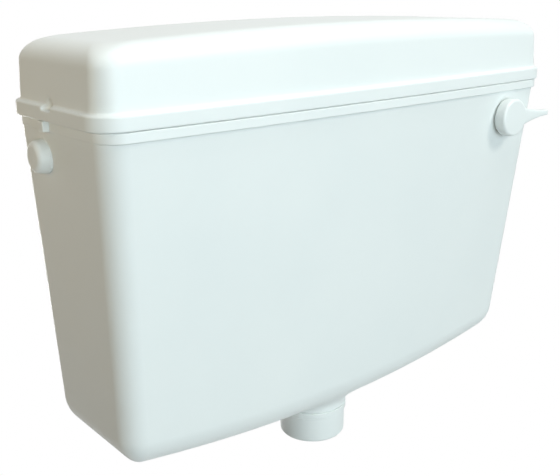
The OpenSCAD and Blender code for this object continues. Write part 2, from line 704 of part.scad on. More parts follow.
// Wire link hooked through the arm's slot and the rod's eye
module lift_link() color("silver") {
  side = outlet_y - rod_r - move_gap - link_r;
  end = outlet_y + rod_r + move_gap;
  translate([bell_x, 0, 0]) rotate([90, 0, 90])
    bent_rod([[end, hook_z], [side, hook_z], [side, eye_z], [end, eye_z]], link_r, link_r + move_gap / 2);
  for (z = [hook_z, eye_z]) along_y(bell_x, end, end + link_r, z, link_r + thread_gap + move_gap);
}
module lift_rod() color("whitesmoke") difference() {
  union() {
    along_z(bell_x, outlet_y, plate_z - rod_head_t, eye_z, rod_r);
    along_z(bell_x, outlet_y, plate_z - rod_head_t, plate_z, rod_head_r);
    along_y(bell_x, outlet_y - rod_r, outlet_y + rod_r, eye_z, eye_r);
  }
  along_y(bell_x, outlet_y - eye_r, outlet_y + eye_r, eye_z, link_r + run_gap);
}
module piston_plate() color("whitesmoke") difference() {
  along_z(bell_x, outlet_y, plate_z, diaphragm_z, piston_r);
  along_z(bell_x, outlet_y, plate_z - 1, diaphragm_z + 1, rod_bore);
  for (i = [1:port_n]) translate([bell_x, outlet_y, plate_z - 1]) rotate(360 * i / port_n)
    translate([(piston_r + rod_head_r) / 2, 0, 0]) cylinder(h = plate_t + 2, r = port_r);
}
module diaphragm() color("dimgray")
  ring_z(bell_x, outlet_y, diaphragm_z, disc_z, piston_r, rod_bore);
module diaphragm_disc() color("whitesmoke")
  ring_z(bell_x, outlet_y, disc_z, disc_z + disc_t, disc_r, rod_bore);

// Bell, rising leg and crown, beaded where they join; the crown's collar sits over the tail's leg
module siphon_body() color("whitesmoke") difference() {
  union() {
    siphon_way(leg_r, bell_r);
    along_z(0, outlet_y, crown_z - collar_l, crown_z + siphon_t, leg_r + siphon_t);
    along_z(bell_x, outlet_y, crown_z - siphon_t, crown_z + siphon_t, leg_r + siphon_t);
    along_z(bell_x, outlet_y, crown_z + crown_r, guide_z, guide_r);
  }
  siphon_way(leg_bore, bell_bore);
  along_z(0, outlet_y, crown_z - 1, crown_z, leg_bore);
  along_z(0, outlet_y, crown_z - collar_l - 1, crown_z, leg_r + thread_gap);
  along_z(bell_x, outlet_y, crown_z, guide_z + 1, rod_r + run_gap);
}
// Half an arch with a bell on its rising leg, at a given leg and bell radius
module siphon_way(leg, bell) {
  open = leg < leg_r ? 1 : 0;
  translate([crown_r, outlet_y, crown_z]) rotate([90, 0, 0])
    rotate_extrude(angle = 180) translate([crown_r, 0]) circle(r = leg);
  along_z(bell_x, outlet_y, cone_top, crown_z + overlap, leg);
  translate([bell_x, outlet_y, bell_top]) cylinder(h = bell_cone_h, r1 = bell, r2 = leg);
  along_z(bell_x, outlet_y, bell_z - open, bell_top, bell);
}
// Falling leg with the flange on the tank's floor and the threaded tail through it
module siphon_tail() color("whitesmoke") difference() {
  union() {
    along_z(0, outlet_y, tail_z, siphon_z, tail_r);
    along_z(0, outlet_y, siphon_z, siphon_z + siphon_flange_t, siphon_flange_r);
    along_z(0, outlet_y, siphon_z, crown_z - rest_gap, leg_r);
  }
  along_z(0, outlet_y, tail_z - 1, tail_z + socket_l, pipe_r);
  along_z(0, outlet_y, tail_z - 1, crown_z, leg_bore);
}
module siphon_base_ring() color("whitesmoke") {
  low = bell_z - base_ring_h;
  inner = spigot_r - base_spigot_t;
  ring_z(bell_x, outlet_y, low, bell_z, bell_r, inner);
  ring_z(bell_x, outlet_y, bell_z - overlap, bell_z + base_spigot_h, spigot_r, inner);
  for (turn = [0, 90]) translate([bell_x, outlet_y, low]) rotate(turn)
    translate([-inner - overlap, -base_bar_w / 2, 0])
      cube([2 * (inner + overlap), base_bar_w, base_ring_h]);
}
module siphon_seal() color("dimgray")
  ring_z(0, outlet_y, floor_seat, siphon_z, siphon_flange_r, tail_hole);

module outlet_back_nut() color("white")
  ring_z(0, outlet_y, neck_z - back_nut_t, neck_z, back_nut_r, tail_r + thread_gap);
module outlet_coupling_nut() color("white") difference() {
  along_z(0, outlet_y, coupling_z, coupling_z + coupling_l, coupling_r);
  along_z(0, outlet_y, cone_z, coupling_z + coupling_l + 1, tail_r + thread_gap);
  along_z(0, outlet_y, coupling_z - 1, cone_z + 1, lip_bore);
}
module outlet_cone_seal() color("dimgray") difference() {
  translate([0, outlet_y, cone_z]) cylinder(h = cone_l, r1 = mix(lip_bore, tail_r, 0.5), r2 = tail_r);
  along_z(0, outlet_y, cone_z - 1, tail_z + 1, lip_bore);
}

module inlet_valve_body() color("whitesmoke") difference() {
  union() {
    along_x(barrel_x, flange_x + overlap, side_y, side_z, barrel_r);
    along_x(flange_x, side_seal_x, side_y, side_z, valve_flange_r);
    along_x(flange_x, nut_x, side_y, side_z, inlet_shank_r);
    along_x(nut_x, nut_x + inlet_l, side_y, side_z, inlet_r);
    along_z(spout_x, side_y, side_z - barrel_r - spout_l, side_z, spout_r);
    for (side = [-1, 1]) translate([0, side_y + side * (ear_in + ear_t / 2), 0]) ear();
  }
  along_x(barrel_x - 1, bore_end, side_y, side_z, barrel_bore);
  along_x(bore_end - 1, nut_x + inlet_l + 1, side_y, side_z, bore_r);
  along_z(spout_x, side_y, side_z - barrel_r - spout_l - 1, side_z, spout_bore);
  finger_slot(barrel_r + 1, finger_l * tan(float_swing));
  along_y(pivot_x, side_y - 2 * ear_in, side_y + 2 * ear_in, pivot_z, pivot_r + thread_gap);
}
module ear() translate([pivot_x, 0, 0]) {
  along_y(0, -ear_t / 2, ear_t / 2, pivot_z, pivot_hub_r);
  translate([-pivot_hub_r, -ear_t / 2, pivot_z])
    cube([2 * pivot_hub_r, ear_t, pivot_drop - plunger_r]);
}
// Slot for the finger, from a depth below the barrel's axis up to the axis
module finger_slot(depth, play) {
  half = finger_w / 2 + move_gap;
  translate([finger_x - half - play, side_y - half, side_z - depth])
    cube([2 * (half + play), 2 * half, depth]);
}
module inlet_seal() color("dimgray")
  ring_x(side_seal_x, side_inner, side_y, side_z, valve_flange_r, side_hole_r);
module inlet_back_nut() color("whitesmoke")
  translate([side_seat, side_y, side_z]) rotate([0, 90, 0])
    hex_nut(inlet_nut_af, inlet_nut_t, inlet_shank_r + thread_gap);
module valve_seat() color("goldenrod") difference() {
  along_x(seat_x, bore_end, side_y, side_z, plunger_r);
  along_x(seat_x - 1, bore_end + 1, side_y, side_z, orifice_r);
}
module valve_plunger() color("goldenrod") difference() {
  along_x(plunger_x, washer_x, side_y, side_z, plunger_r);
  finger_slot(plunger_r + 1, 0);
}
module plunger_washer() color("dimgray")
  along_x(washer_x, washer_x + washer_t, side_y, side_z, washer_r);
module valve_cap() color("whitesmoke") {
  along_x(barrel_x - cap_t, barrel_x, side_y, side_z, barrel_r);
  along_x(barrel_x - overlap, (barrel_x + plunger_x) / 2, side_y, side_z, plunger_r);
}
module silencer_tube() color("whitesmoke") {
  top = side_z - barrel_r - rest_gap;
  ring_z(spout_x, side_y, top - silencer_l, top, silencer_r, spout_r + thread_gap);
}

module float_pivot_pin() color("silver")
  along_y(pivot_x, side_y - ear_in - ear_t, side_y + ear_in + ear_t, pivot_z, pivot_r);
// Float arm in its own frame: pivot at the origin, reaching to -X, hanging at rest
module at_float() translate([pivot_x, 0, pivot_z]) rotate([0, -float_slope, 0]) children();
module float_arm() color("goldenrod") difference() {
  union() {
    along_y(pivot_x, side_y - pivot_hub_w / 2, side_y + pivot_hub_w / 2, pivot_z, pivot_hub_r);
    translate([pivot_x, side_y, pivot_z]) rotate([0, -float_swing / 2, 0]) finger();
    at_float() bent_rod([[0, side_y], [-bend_1, side_y], [-bend_2, float_back_y],
      [-bend_3, float_back_y], [-bend_4, outlet_y], [-neck_s - float_neck_l, outlet_y]],
      float_rod_r, float_bend_r);
  }
  along_y(pivot_x, side_y - pivot_hub_w, side_y + pivot_hub_w, pivot_z, pivot_r + run_gap);
}
module finger() {
  translate([-finger_w / 2, -finger_w / 2, 0]) cube([finger_w, finger_w, finger_l]);
  along_y(0, -finger_w / 2, finger_w / 2, finger_l, finger_w / 2);
}
// Half of the hollow float about the arm's line; side is 1 for the half with the neck
module float_half(side) at_float() translate([-float_s, outlet_y, 0]) difference() {
  union() {
    intersection() {
      sphere(r = float_r);
      translate([side > 0 ? 0 : -2 * float_r, -2 * float_r, -2 * float_r])
        cube([2 * float_r, 4 * float_r, 4 * float_r]);
    }
    children();
  }
  sphere(r = float_r - float_t);
}
module float_neck_half() color("orange") difference() {
  float_half(1) along_x(float_r - 2 * float_t, float_r + float_neck_l, 0, 0, float_neck_r);
  at_float() along_x(-neck_s - float_neck_l - thread_gap, -neck_s + 1, outlet_y, 0, float_rod_r + thread_gap);
}
module float_end_half() color("orange")
  float_half(-1) translate([-2 * float_bead_r, 0, 0]) rotate([0, 90, 0])
    cylinder(h = 2 * float_bead_r, r = float_r + float_bead_r);
module float_lock_nut() color("goldenrod")
  at_float() translate([-neck_s, outlet_y, 0]) rotate([0, 90, 0])
    hex_nut(float_nut_af, float_nut_t, float_rod_r + thread_gap);

module blanking_plug() color("white") {
  translate([-side_seat, side_y, side_z]) rotate([0, -90, 0]) knob(plug_r, plug_face_r, plug_t, plug_edge_r);
  along_x(-side_seat - overlap, -plug_nut_x + seal_t, side_y, side_z, plug_shank_r);
}
module plug_seal() color("dimgray")
  ring_x(-side_inner, -side_seal_x, side_y, side_z, valve_flange_r, side_hole_r);
module plug_nut() color("whitesmoke")
  translate([-side_seal_x, side_y, side_z]) rotate([0, 90, 0])
    hex_nut(plug_nut_af, plug_nut_t, plug_shank_r + thread_gap);

tank();
lid();
flush_handle();
handle_bush();
bush_lock_nut();
handle_spindle();
lever_arm();
lever_clamp_screw();
lift_link();
lift_rod();
piston_plate();
diaphragm();
diaphragm_disc();
siphon_body();
siphon_tail();
siphon_base_ring();
siphon_seal();
outlet_back_nut();
outlet_coupling_nut();
outlet_cone_seal();
inlet_valve_body();
inlet_seal();
inlet_back_nut();
valve_seat();
valve_plunger();
plunger_washer();
valve_cap();
silencer_tube();
float_pivot_pin();
float_arm();
float_neck_half();
float_end_half();
float_lock_nut();
blanking_plug();
plug_seal();
plug_nut();
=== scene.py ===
# %% [markdown]
# # A wall-hung flushing cistern
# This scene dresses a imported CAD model: a white moulded tank with a lift-off lid, a front
# lever, and the siphon, inlet valve and float inside it. The CAD model is the fixed frame.
# It gives every place and size, so each new surface is worked out in the same millimetres
# and put straight where it belongs. Nothing is fitted by eye afterwards.

# %% load the frame
import json
import bmesh
import bpy
import numpy as np
from mathutils import Matrix, Vector


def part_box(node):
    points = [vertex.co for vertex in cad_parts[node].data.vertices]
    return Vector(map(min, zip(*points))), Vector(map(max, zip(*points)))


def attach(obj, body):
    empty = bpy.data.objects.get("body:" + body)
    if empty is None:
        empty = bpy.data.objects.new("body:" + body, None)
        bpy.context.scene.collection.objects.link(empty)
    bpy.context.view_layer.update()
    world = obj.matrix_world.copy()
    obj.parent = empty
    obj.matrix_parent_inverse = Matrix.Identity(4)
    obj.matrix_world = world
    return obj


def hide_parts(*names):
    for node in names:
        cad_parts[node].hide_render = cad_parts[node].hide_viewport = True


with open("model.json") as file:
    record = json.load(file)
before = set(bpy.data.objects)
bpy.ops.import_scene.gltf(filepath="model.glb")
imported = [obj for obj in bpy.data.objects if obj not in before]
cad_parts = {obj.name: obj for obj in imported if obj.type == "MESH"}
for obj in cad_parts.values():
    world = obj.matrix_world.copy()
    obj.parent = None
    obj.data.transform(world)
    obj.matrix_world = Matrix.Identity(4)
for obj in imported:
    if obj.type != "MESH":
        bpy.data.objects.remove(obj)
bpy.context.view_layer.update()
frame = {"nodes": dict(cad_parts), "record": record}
MM = 0.001

# %% [markdown]
# ## The camera
# The photograph was taken from the left, a little above the lid. Its camera was found by
# matching the outline of the tank and lid, which gives a turn, a tilt and a distance. The
# picture is 560 pixels wide, and a lens is that focal length over the picture's width,
# times the sensor's width.

# %% camera
PHOTO_W = 560
FOCAL_PX = 830.12
turn, tilt, roll = np.radians([39.41, 16.9, -0.68])
eye = np.array([-458.1, -585.05, 115.83]) * MM
ahead = np.array([np.sin(turn) * np.cos(tilt), np.cos(turn) * np.cos(tilt), -np.sin(tilt)])
level = np.array([np.cos(turn), -np.sin(turn), 0])
upright = np.cross(level, ahead)
right = level * np.cos(roll) + upright * np.sin(roll)
up = upright * np.cos(roll) - level * np.sin(roll)
lens = bpy.data.cameras.new("camera")
lens.sensor_width = 36
lens.lens = FOCAL_PX / PHOTO_W * lens.sensor_width
camera = bpy.data.objects.new("camera", lens)
bpy.context.collection.objects.link(camera)
pose = np.eye(4)
pose[:3] = np.column_stack([right, up, -ahead, eye])
camera.matrix_world = Matrix(pose.tolist())
bpy.context.scene.camera = camera
print("lens %.2f mm" % lens.lens)

# %% [markdown]
# ## Colours and nodes
# Colours are written as sRGB hex values, the way a paint or a plastic is matched on a
# screen. Blender's shaders work in linear light, so one function undoes the sRGB curve. A
# second function adds one node: settings become its properties, and each input gets either
# a value or a link from another node.

# %% colours and nodes
def linear(code):
    """Linear colour of an sRGB hex code: c / 12.92 near black, else ((c + 0.055) / 1.055) ** 2.4."""
    c = np.array([int(code[i:i + 2], 16) for i in (1, 3, 5)]) / 255
    return (*np.where(c <= 0.04045, c / 12.92, ((c + 0.055) / 1.055) ** 2.4).tolist(), 1)


def put(tree, kind, inputs=None, **settings):
    """Adds one node: settings are its properties, and inputs are values or sockets to link."""
    node = tree.nodes.new(kind)
    for key, value in settings.items():
        setattr(node, key, value)
    for key, value in (inputs or {}).items():
        if isinstance(value, bpy.types.NodeSocket):
            tree.links.new(value, node.inputs[key])
        else:
            node.inputs[key].default_value = value
    return node


def per(size_mm):
    """Texture scale at which one cell of a pattern measures size_mm: one over metres."""
    return 1 / (size_mm * MM)


def start(name):
    """New material with its tree, its main shader and the Object coordinates it reads."""
    made = bpy.data.materials.new(name)
    made.use_nodes = True
    tree = made.node_tree
    place = put(tree, "ShaderNodeTexCoord").outputs["Object"]
    return made, tree, tree.nodes["Principled BSDF"], place


finishes = {}
print("a moulded white renders from", linear("#E7ECEB"))

# %% [markdown]
# ## White moulded plastic
# The tank, lid, lever and outlet nuts are moulded in a white plastic such as ABS or HIPS. A
# polished mould leaves a soft gloss that is not quite even: broad, shallow waves where the
# walls cooled, a very fine orange peel, and a white that drifts by about a percent. Noise at
# those two real sizes gives this, and its bump stays far too low to change the outline.

# %% white moulded plastic
white, tree, shader, place = start("white_plastic_gloss_moulded")
drift = put(tree, "ShaderNodeTexNoise", {"Vector": place, "Scale": per(90), "Detail": 2})
tint = put(tree, "ShaderNodeMix", {"Factor": drift.outputs["Fac"], 6: linear("#E4EAE9"), 7: linear("#EBEFED")},
           data_type="RGBA")
# Soft gloss: the eye sees broad, blurred lights that are a little duller in places.
dull = put(tree, "ShaderNodeMapRange", {"Value": drift.outputs["Fac"], 1: 0.3, 2: 0.7, 3: 0.44, 4: 0.52})
wave = put(tree, "ShaderNodeTexNoise", {"Vector": place, "Scale": per(45), "Detail": 1})
peel = put(tree, "ShaderNodeTexNoise", {"Vector": place, "Scale": per(1.6), "Detail": 2})
broad = put(tree, "ShaderNodeBump", {"Height": wave.outputs["Fac"], "Distance": 0.25 * MM, "Strength": 0.35})
fine = put(tree, "ShaderNodeBump", {"Height": peel.outputs["Fac"], "Distance": 0.02 * MM, "Strength": 0.35,
                                    "Normal": broad.outputs["Normal"]})
shader.inputs["IOR"].default_value = 1.53
tree.links.new(tint.outputs[2], shader.inputs["Base Color"])
tree.links.new(dull.outputs["Result"], shader.inputs["Roughness"])
tree.links.new(fine.outputs["Normal"], shader.inputs["Normal"])
finishes["white_gloss"] = white
print("made", white.name)

# %% [markdown]
# ## Natural polypropylene
# The siphon, the inlet valve and the nuts inside are moulded in polypropylene or acetal
# without pigment. It is a milky, slightly warm white with a satin skin. A little light goes
# through a thin wall, which a small subsurface share gives, and old water leaves a faint
# yellow drift.

# %% natural polypropylene
milky, tree, shader, place = start("polypropylene_satin_moulded")
drift = put(tree, "ShaderNodeTexNoise", {"Vector": place, "Scale": per(28), "Detail": 3})
tint = put(tree, "ShaderNodeMix", {"Factor": drift.outputs["Fac"], 6: linear("#DCDDD2"), 7: linear("#ECECE6")},
           data_type="RGBA")
grain = put(tree, "ShaderNodeTexNoise", {"Vector": place, "Scale": per(0.9), "Detail": 2})
satin = put(tree, "ShaderNodeMapRange", {"Value": grain.outputs["Fac"], 1: 0.3, 2: 0.7, 3: 0.38, 4: 0.5})
relief = put(tree, "ShaderNodeBump", {"Height": grain.outputs["Fac"], "Distance": 0.03 * MM, "Strength": 0.5})
shader.inputs["IOR"].default_value = 1.49
shader.inputs["Subsurface Weight"].default_value = 0.12
shader.inputs["Subsurface Radius"].default_value = (1, 0.9, 0.7)
shader.inputs["Subsurface Scale"].default_value = 1.5 * MM
tree.links.new(tint.outputs[2], shader.inputs["Base Color"])
tree.links.new(satin.outputs["Result"], shader.inputs["Roughness"])
tree.links.new(relief.outputs["Normal"], shader.inputs["Normal"])
finishes["natural_plastic"] = milky
print("made", milky.name)

# %% [markdown]
# ## Black moulded rubber
# Washers and the diaphragm are pressed from black rubber. It is matt, a little greyer where
# the bloom of the mould powder stays, and finely pitted.

# %% black moulded rubber
black, tree, shader, place = start("rubber_matt_pressed")
bloom = put(tree, "ShaderNodeTexNoise", {"Vector": place, "Scale": per(7), "Detail": 4})
tint = put(tree, "ShaderNodeMix", {"Factor": bloom.outputs["Fac"], 6: linear("#1B1B1D"), 7: linear("#38383A")},
           data_type="RGBA")
pits = put(tree, "ShaderNodeTexNoise", {"Vector": place, "Scale": per(0.6), "Detail": 2})
relief = put(tree, "ShaderNodeBump", {"Height": pits.outputs["Fac"], "Distance": 0.05 * MM, "Strength": 0.6})
shader.inputs["Roughness"].default_value = 0.72
tree.links.new(tint.outputs[2], shader.inputs["Base Color"])
tree.links.new(relief.outputs["Normal"], shader.inputs["Normal"])
finishes["rubber"] = black
print("made", black.name)

# %% [markdown]
# ## Zinc-plated steel
# The lever arm, spindle, link and screws are steel with a bright zinc plate. Zinc is a
# bluish grey metal with patches of slightly different polish, and rolling or drawing leaves
# short streaks along the piece, so the noise is stretched ten times along X.

# %% zinc-plated steel
zinc, tree, shader, place = start("steel_zinc_plated")
patch = put(tree, "ShaderNodeTexNoise", {"Vector": place, "Scale": per(14), "Detail": 3})
tint = put(tree, "ShaderNodeMix", {"Factor": patch.outputs["Fac"], 6: linear("#A9ABAC"), 7: linear("#CDCFCE")},
           data_type="RGBA")
stretch = put(tree, "ShaderNodeMapping", {"Vector": place, "Scale": (0.1, 1, 1)})
streak = put(tree, "ShaderNodeTexNoise", {"Vector": stretch.outputs["Vector"], "Scale": per(0.8), "Detail": 2})
polish = put(tree, "ShaderNodeMapRange", {"Value": streak.outputs["Fac"], 1: 0.3, 2: 0.7, 3: 0.24, 4: 0.4})
relief = put(tree, "ShaderNodeBump", {"Height": streak.outputs["Fac"], "Distance": 0.02 * MM, "Strength": 0.5})
shader.inputs["Metallic"].default_value = 1
tree.links.new(tint.outputs[2], shader.inputs["Base Color"])
tree.links.new(polish.outputs["Result"], shader.inputs["Roughness"])
tree.links.new(relief.outputs["Normal"], shader.inputs["Normal"])
finishes["steel"] = zinc
print("made", zinc.name)

# %% [markdown]
# ## Drawn brass
# The float arm, its lock nut, the valve's plunger and its seat are brass, drawn or turned.
# In a damp tank brass dulls to a browner tone in soft blotches, and the dull blotches are
# rougher too, so one noise drives both.

# %% drawn brass
brass, tree, shader, place = start("brass_drawn_dulled")
blotch = put(tree, "ShaderNodeTexNoise", {"Vector": place, "Scale": per(16), "Detail": 5})
dulled = put(tree, "ShaderNodeMapRange", {"Value": blotch.outputs["Fac"], 1: 0.38, 2: 0.66})
tint = put(tree, "ShaderNodeMix", {"Factor": dulled.outputs["Result"], 6: linear("#D2AE68"),
                                    7: linear("#A07C42")}, data_type="RGBA")
polish = put(tree, "ShaderNodeMapRange", {"Value": dulled.outputs["Result"], 3: 0.22, 4: 0.42})
shader.inputs["Metallic"].default_value = 1
tree.links.new(tint.outputs[2], shader.inputs["Base Color"])
tree.links.new(polish.outputs["Result"], shader.inputs["Roughness"])
finishes["brass"] = brass
print("made", brass.name)

# %% [markdown]
# ## Orange moulded float
# Floats are moulded in orange polyethylene so that they are easy to see. The skin is waxy
# and satin, with faint flow marks a few centimetres long.

# %% orange moulded float
orange, tree, shader, place = start("polyethylene_waxy_moulded")
flow = put(tree, "ShaderNodeTexNoise", {"Vector": place, "Scale": per(22), "Detail": 3, "Distortion": 1.2})
tint = put(tree, "ShaderNodeMix", {"Factor": flow.outputs["Fac"], 6: linear("#D9641B"), 7: linear("#EC7A2C")},
           data_type="RGBA")
wax = put(tree, "ShaderNodeTexNoise", {"Vector": place, "Scale": per(1.2), "Detail": 2})
satin = put(tree, "ShaderNodeMapRange", {"Value": wax.outputs["Fac"], 1: 0.3, 2: 0.7, 3: 0.36, 4: 0.48})
relief = put(tree, "ShaderNodeBump", {"Height": wax.outputs["Fac"], "Distance": 0.04 * MM, "Strength": 0.4})
shader.inputs["IOR"].default_value = 1.51
tree.links.new(tint.outputs[2], shader.inputs["Base Color"])
tree.links.new(satin.outputs["Result"], shader.inputs["Roughness"])
tree.links.new(relief.outputs["Normal"], shader.inputs["Normal"])
finishes["float_orange"] = orange
print("made", orange.name)

# %% [markdown]
# ## Finishes on the CAD nodes
# The record says which finish each CAD node takes. Those that no new piece replaces keep
# their exact CAD shape and only get the finish.

# %% finishes on the CAD nodes
for part in frame["record"]["subparts"]:
    node = frame["nodes"][part["node"]]
    node.data.materials.clear()
    node.data.materials.append(finishes[part["material_slot"]])

# %% [markdown]
# ## From arrays to a piece
# Every new piece is one or more closed shells. A shell is an array of points with its
# faces. One function joins the shells, merges their seams and poles, turns the faces
# outwards, cuts holes, gives the piece its finish and its body, and hides the CAD node that
# it stands for. Area-weighted normals keep the large flat faces flat beside small rounds.

# %% from arrays to a piece
def grid(points, ring=True, loop=False):
    """Shell over points[row, column]: each face joins two neighbours of one row to the next row.
    ring closes the columns into a ring, and loop joins the last row to the first."""
    rows, cols = points.shape[:2]
    index = np.arange(rows * cols).reshape(rows, cols)
    index = np.hstack([index, index[:, :1]]) if ring else index
    index = np.vstack([index, index[:1]]) if loop else index
    faces = np.stack([index[:-1, :-1], index[:-1, 1:], index[1:, 1:], index[1:, :-1]], axis=-1)
    return points.reshape(-1, 3), faces.reshape(-1, 4)


def to_mesh(name, shells):
    """Mesh in metres of shells in millimetres, with doubles merged and faces outwards."""
    points = np.vstack([p for p, f in shells]) * MM
    first = np.cumsum([0] + [len(p) for p, f in shells])
    mesh = bpy.data.meshes.new(name)
    mesh.from_pydata(points, [], np.vstack([f + k for (p, f), k in zip(shells, first)]))
    form = bmesh.new()
    form.from_mesh(mesh)
    bmesh.ops.remove_doubles(form, verts=form.verts, dist=1e-3 * MM)
    bmesh.ops.recalc_face_normals(form, faces=form.faces)
    form.to_mesh(mesh)
    form.free()
    return mesh


def cut(mesh, holes):
    """The mesh with the holes' shells taken out of it by an exact boolean."""
    body = bpy.data.objects.new(mesh.name, mesh)
    drill = bpy.data.objects.new("drill", to_mesh("drill", holes))
    for made in (body, drill):
        bpy.context.collection.objects.link(made)
    taken = body.modifiers.new("holes", "BOOLEAN")
    taken.object, taken.operation, taken.solver = drill, "DIFFERENCE", "EXACT"
    result = bpy.data.meshes.new_from_object(body.evaluated_get(bpy.context.evaluated_depsgraph_get()))
    for made in (body, drill):
        bpy.data.objects.remove(made)
    return result


def piece(name, body, slot, nodes, shells, holes=(), added=(), sharp=32):
    """Piece of closed shells: holes are cut out of shells, and added shells join afterwards."""
    mesh = to_mesh(name, shells)
    mesh = cut(mesh, holes) if holes else mesh
    if added:
        form = bmesh.new()
        form.from_mesh(mesh)
        form.from_mesh(to_mesh(name, added))
        form.to_mesh(mesh)
        form.free()
    mesh.materials.clear()
    mesh.materials.append(finishes[slot])
    mesh.shade_smooth()
    mesh.set_sharp_from_angle(angle=np.radians(sharp))
    made = bpy.data.objects.new(name, mesh)
    bpy.context.collection.objects.link(made)
    made.modifiers.new("flat_faces", "WEIGHTED_NORMAL").keep_sharp = True
    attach(made, body)
    if nodes:
        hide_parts(*nodes)
    print(name, "has", len(mesh.polygons), "faces")


# %% [markdown]
# ## The outline of the mouldings
# Seen from above, tank and lid are rounded rectangles whose front bows out. A point of the
# outline is a share of the straight edge plus a turn round a corner: x = s (half - r) +
# r cos a, and y is the same with the depth. The front half runs from left to right, and the
# back half is its mirror run backwards. Extra columns stand close together on the two ends,
# where a finger scoop is pressed into the lid later. Foot and top are closed by a sheet
# between front and back that has a row for each of those columns, so no pole is needed.

# %% outline
CORNER_STEPS, EDGE_STEPS = 14, 56
BOW, SCOOP_Y = 5.5, -65.5
quarter = np.radians(np.linspace(0, 90, CORNER_STEPS + 1))
along = np.linspace(-1, 1, EDGE_STEPS + 2)[1:-1]
ends = np.ones(CORNER_STEPS + 1)
share = np.concatenate([-ends, along, ends])
bearing = np.concatenate([np.pi + quarter, np.full(EDGE_STEPS, 1.5 * np.pi), 1.5 * np.pi + quarter])
cosine, sine = np.cos(bearing), np.sin(bearing)
HALF_N = len(share)
end_y = SCOOP_Y + np.linspace(-9.5, 9.5, 39)


def mix(a, b, t):
    """The value a share t of the way from a to b."""
    return a + (b - a) * t


def outline(half, front, back, r):
    """Rounded rectangles, one per row, with the front bowed by BOW (1 - (x / half) ** 2).
    The columns are the front, the right end, the back and the left end."""
    half, front, back, r = (np.asarray(v, float)[:, None] for v in (half, front, back, r))
    x = share * (half - r) + r * cosine
    front_y = front + r - BOW * (1 - (x / half) ** 2) + r * sine
    back_y = back - r - r * sine
    end_x = half + 0 * end_y
    right_y = end_y + 0 * half
    return (np.hstack([x, end_x, x[:, ::-1], -end_x]),
            np.hstack([front_y, right_y, back_y[:, ::-1], right_y[:, ::-1]]))


def sheet_across(loop_points):
    """Shell that closes one ring: front point i and back point i joined in the ends' own shares."""
    front, back = loop_points[:HALF_N], loop_points[-len(end_y) - HALF_N:-len(end_y)][::-1]
    first, last = front[-1, 1], back[-1, 1]
    across = np.concatenate([[0], (end_y - first) / (last - first), [1]])
    return grid(mix(front[:, None], back[:, None], across[None, :, None]), ring=False)


def skin(points):
    """Shells over rings of the outline, closed by a sheet across the first and the last ring."""
    return [grid(points), sheet_across(points[0]), sheet_across(points[-1])]


def rounded(corners, radii, steps=5):
    """Path through corners with each corner rounded: the arc's directions from its centre are
    blended by sin((1 - s) a) and sin(s a) over sin(a), with a the angle that the arc turns."""
    p, r = np.asarray(corners, float), np.asarray(radii, float)[:, None]
    before, after = np.roll(p, 1, 0) - p, np.roll(p, -1, 0) - p
    before /= np.linalg.norm(before, axis=1, keepdims=True)
    after /= np.linalg.norm(after, axis=1, keepdims=True)
    inner = np.arccos(np.clip((before * after).sum(1, keepdims=True), -1, 1))
    middle = before + after
    middle /= np.maximum(np.linalg.norm(middle, axis=1, keepdims=True), 1e-9)
    centre = p + middle * r / np.sin(inner / 2)
    first, last = p + before * r / np.tan(inner / 2), p + after * r / np.tan(inner / 2)
    s, a = np.linspace(0, 1, steps + 1)[None, :, None], (np.pi - inner)[:, None]
    blend = np.sin((1 - s) * a) * (first - centre)[:, None] + np.sin(s * a) * (last - centre)[:, None]
    return (centre[:, None] + blend / np.maximum(np.sin(a), 1e-9)).reshape(-1, 2)


print("outline of", 2 * (HALF_N + len(end_y)), "points")

# %% [markdown]
# ## Turned shapes
# Nuts, bushes, pads and holes are turned: a profile of radius and height is carried round an
# axis. A closed profile gives a ring with a bore. A profile that begins and ends at radius
# zero gives a solid, and its poles close when the doubles are merged.

# %% turned shapes
AXES = {"x": [[0, 1, 0], [0, 0, 1], [1, 0, 0]], "y": [[0, 0, 1], [1, 0, 0], [0, 1, 0]], "z": np.eye(3)}


def full_turn(steps):
    """Angles of even steps round one full turn."""
    return np.linspace(0, 2 * np.pi, steps, endpoint=False)


def on_axis(local, centre, axis):
    """Points made round Z, turned onto a named axis and moved to centre."""
    return local @ np.array(AXES[axis], float) + np.asarray(centre, float)


def turned(profile, centre, axis="z", steps=96):
    """Shell of a closed profile (radius, height): centre + radius (cos a, sin a) + height along axis."""
    r, h = np.asarray(profile, float).T
    a = full_turn(steps)
    local = np.stack([np.outer(r, np.cos(a)), np.outer(r, np.sin(a)), np.outer(h, np.ones(steps))], axis=-1)
    return grid(on_axis(local, centre, axis), loop=True)


def ring(bore, outer, low, high, soft=0.5):
    """Profile of a plain ring with its four edges rounded by soft."""
    return rounded([(bore, low), (outer, low), (outer, high), (bore, high)], [soft] * 4)


def rod(r, low, high, soft=0.4):
    """Profile of a solid rod with its two outer edges rounded by soft."""
    return rounded([(0, low), (r, low), (r, high), (0, high)], [0, soft, soft, 0])


def block(low, high, r):
    """Shell of a box with edges rounded by r: r times a direction, plus that octant's own corner centre."""
    low, high = np.asarray(low, float), np.asarray(high, float)
    turns = np.radians(np.linspace(0, 90, 6))
    a = np.concatenate([k * np.pi / 2 + turns for k in range(4)])
    tilt = np.concatenate([turns - np.pi / 2, turns])[:, None]
    way = np.stack(np.broadcast_arrays(np.cos(tilt) * np.cos(a), np.cos(tilt) * np.sin(a), np.sin(tilt)),
                   axis=-1)
    quadrant = np.repeat(np.arange(4), 6)
    up = np.repeat([0, 1], 6)[:, None]
    corner = np.stack(np.broadcast_arrays(np.isin(quadrant, [0, 3]), quadrant < 2, up), axis=-1)
    points = np.where(corner, high - r, low + r) + r * way
    foot, top = (np.repeat(row.mean(1, keepdims=True), points.shape[1], axis=1)
                 for row in (points[:1], points[-1:]))
    return grid(np.concatenate([foot, points, top]))


